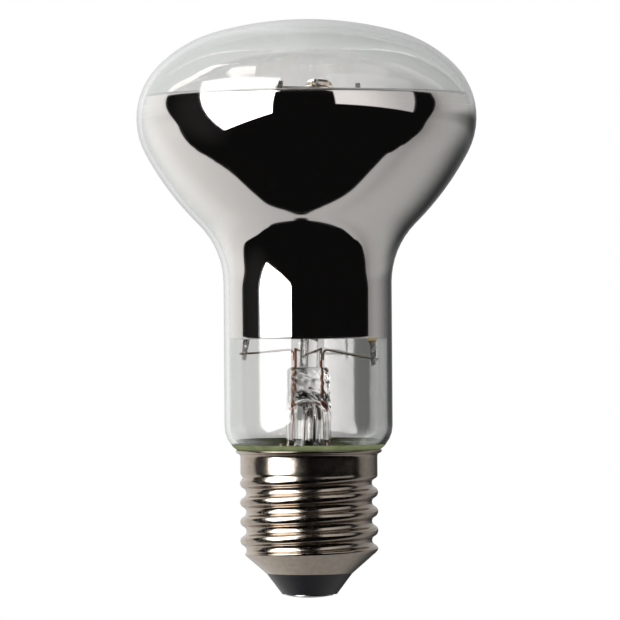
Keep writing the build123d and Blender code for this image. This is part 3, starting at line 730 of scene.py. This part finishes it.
# Each finish by the slot that it fills, with the size and the depth of its grain in mm. Real grain on
# wire, plate and lacquer is finer than this, and is drawn as coarse as it needs to show.
glassFinishes = {
    # blown lime glass: clear face on, and faintly green where the eye looks along the wall
    "clear_glass": {"name": "sodaLimeGlass", "face": "#fefdfc", "along": "#eaf5f1"},
    # drawn tube, softened and pinched in a flame: a clean white glass whose folds bend the light
    "stem_glass": {"name": "stemGlass", "face": "#fefefd", "along": "#f4f8f2"},
}
grainFinishes = {
    # aluminium boiled on to smooth glass: a true mirror, very slightly warm and without grain
    "mirror_film": {"name": "aluminiumFilm", "making": "metal", "dark": "#f8f2f0", "pale": "#fbf6f4",
                    "roughness": (0.0, 0.03), "grain": 4.0, "depth": 0.0},
    # nickel plated on brass sheet before it is rolled: warm grey, and long soft highlights
    "nickel_plate": {"name": "nickelPlate", "making": "metal", "dark": "#a4998d", "pale": "#c2b6a9",
                     "roughness": (0.12, 0.24), "grain": 0.4, "depth": 0.01},
    # drawn nickel wire: pale, with a dull shine along its length
    "nickel_wire": {"name": "nickelWire", "making": "metal", "dark": "#a9a49c", "pale": "#c9c4bb",
                    "roughness": (0.22, 0.35), "grain": 0.6, "depth": 0.01},
    # copper skin on an iron core, oxidised in the flame: brown, patchy and half matt
    "lead_wire": {"name": "copperCladWire", "making": "metal", "dark": "#6e4432", "pale": "#9c6446",
                  "roughness": (0.28, 0.42), "grain": 0.8, "depth": 0.01},
    # punched steel strip: bright and flat, dulled a little by rolling
    "tab_steel": {"name": "steelTab", "making": "metal", "dark": "#b0aca4", "pale": "#cfccc6",
                  "roughness": (0.2, 0.34), "grain": 0.5, "depth": 0.01},
    # silicone with phosphor powder, dispensed wet: strong yellow, with a soft uneven gloss
    "phosphor": {"name": "siliconePhosphor", "making": "coating", "dark": "#eec040", "pale": "#f7d35c",
                 "roughness": (0.35, 0.5), "grain": 0.6, "depth": 0.04},
    # moulded thermoset: near black, with the satin face of its mould
    "black_insulator": {"name": "blackInsulator", "making": "coating", "dark": "#151519",
                        "pale": "#1f1f23", "roughness": (0.3, 0.42), "grain": 0.8, "depth": 0.02},
    # stamped disc dipped in solder: silvery, soft and slightly wavy
    "contact_metal": {"name": "tinnedContact", "making": "metal", "dark": "#9c9a94", "pale": "#c4c2bc",
                      "roughness": (0.28, 0.42), "grain": 1.0, "depth": 0.04},
    # resin cement with marble powder, pressed in and baked: olive green, matt and grainy
    "cement": {"name": "baseCement", "making": "coating", "dark": "#4c5838", "pale": "#959d6e",
               "roughness": (0.7, 0.9), "grain": 0.7, "depth": 0.1},
    # woven glass laminate under green lacquer: even and half glossy
    "circuit_board": {"name": "boardLaminate", "making": "coating", "dark": "#2c5a34",
                      "pale": "#386c40", "roughness": (0.35, 0.5), "grain": 1.0, "depth": 0.01},
    # shrunk vinyl sleeve: dark and smooth, with a clear shine
    "capacitor_sleeve": {"name": "capacitorSleeve", "making": "coating", "dark": "#1c1f26",
                         "pale": "#2a2e38", "roughness": (0.25, 0.35), "grain": 1.0, "depth": 0.01},
    # pressed and fired ferrite: charcoal, dull and finely rough
    "ferrite": {"name": "ferrite", "making": "coating", "dark": "#2a292b", "pale": "#3a393b",
                "roughness": (0.6, 0.8), "grain": 0.5, "depth": 0.03},
    # wound copper wire under clear enamel: deep orange brown with small bright ridges
    "copper": {"name": "enamelledCopper", "making": "metal", "dark": "#8e4a24", "pale": "#b4643a",
               "roughness": (0.2, 0.32), "grain": 0.6, "depth": 0.03},
    # moulded epoxy: black and matt, with a fine spark-eroded face
    "chip_body": {"name": "chipEpoxy", "making": "coating", "dark": "#1d1d1f", "pale": "#29292b",
                  "roughness": (0.5, 0.65), "grain": 0.4, "depth": 0.01},
    # dipped lacquer: pale blue with rounded, half glossy skin
    "resistor_body": {"name": "resistorBody", "making": "coating", "dark": "#7fa3b0",
                      "pale": "#93b5c0", "roughness": (0.35, 0.5), "grain": 0.6, "depth": 0.02},
    # copper wire dipped in tin: silver grey with a dull shine
    "tinned_wire": {"name": "tinnedWire", "making": "metal", "dark": "#aaa9a5", "pale": "#cccbc8",
                    "roughness": (0.25, 0.4), "grain": 0.6, "depth": 0.01},
}
# a metal is patchy in its tarnish, a coating in its colour: the patches are 1 / patch grains across
makings = {
    "metal": {"metallic": 1.0, "patch": 0.35, "patchDetail": 5.0, "grainDetail": 2.0},
    "coating": {"metallic": 0.0, "patch": 0.3, "patchDetail": 4.0, "grainDetail": 3.0},
}
glassIndex = 1.52
rimBlend = 0.22  # how near the edge of the glass its second colour shows


def makeGlassFinish(name, face, along):
    material, tree = newMaterial(name)
    facing = addNode(tree, "LayerWeight", {"Blend": rimBlend}).outputs["Facing"]
    colour = addNode(tree, "Mix", {0: facing, 6: hexColour(face), 7: hexColour(along)},
                     data_type="RGBA")
    glass = addNode(tree, "BsdfPrincipled", {"Base Color": colour, "Roughness": 0.0, "IOR": glassIndex,
                                             "Transmission Weight": 1.0})
    addNode(tree, "OutputMaterial", {0: glass})
    return material


def makeGrainFinish(name, making, dark, pale, roughness, grain, depth):
    material, tree = newMaterial(name)
    way = makings[making]
    perMetre = 1 / (grain * mm)
    coords = addNode(tree, "TexCoord").outputs["Object"]
    patches = addNode(tree, "TexNoise", {"Vector": coords, "Scale": way["patch"] * perMetre,
                                         "Detail": way["patchDetail"]})
    grains = addNode(tree, "TexNoise", {"Vector": coords, "Scale": perMetre,
                                        "Detail": way["grainDetail"]})
    colour = addNode(tree, "Mix", {0: patches, 6: hexColour(dark), 7: hexColour(pale)},
                     data_type="RGBA")
    dull = addNode(tree, "MapRange", {"Value": patches, "To Min": roughness[0], "To Max": roughness[1]})
    relief = addNode(tree, "Bump", {"Height": grains, "Distance": depth * mm})
    surface = addNode(tree, "BsdfPrincipled", {"Base Color": colour, "Metallic": way["metallic"],
                                               "Roughness": dull, "Normal": relief})
    addNode(tree, "OutputMaterial", {0: surface})
    return material


makeWorld()
makeCamera()
makeFloor()
print("studio ready")

materials = {slot: makeGlassFinish(**finish) for slot, finish in glassFinishes.items()}
materials.update({slot: makeGrainFinish(**finish) for slot, finish in grainFinishes.items()})
for node in nodes.values():
    slot = node.data.materials[0].name.split(".")[0]
    node.data.materials[0] = materials[slot]
print("nodes finished")

replaced = [
    (makeGlass(), "clear_glass", ["glass_bulb"]),
    (makeFilm(), "mirror_film", ["mirror_coating"]),
    (makeShell(), "nickel_plate", ["cap_shell"]),
    (makeStem(), "stem_glass", ["stem"]),
    (makeRod(), "stem_glass", ["support_rod"]),
    (makeExhaust(), "stem_glass", ["exhaust_tube"]),
    (makeCement(), "cement", ["basing_cement"]),
]
for piece, slot, stoodFor in replaced:
    piece.data.materials.append(materials[slot])
    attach(piece, "root")
    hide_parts(*stoodFor)
print("smooth pieces in place")
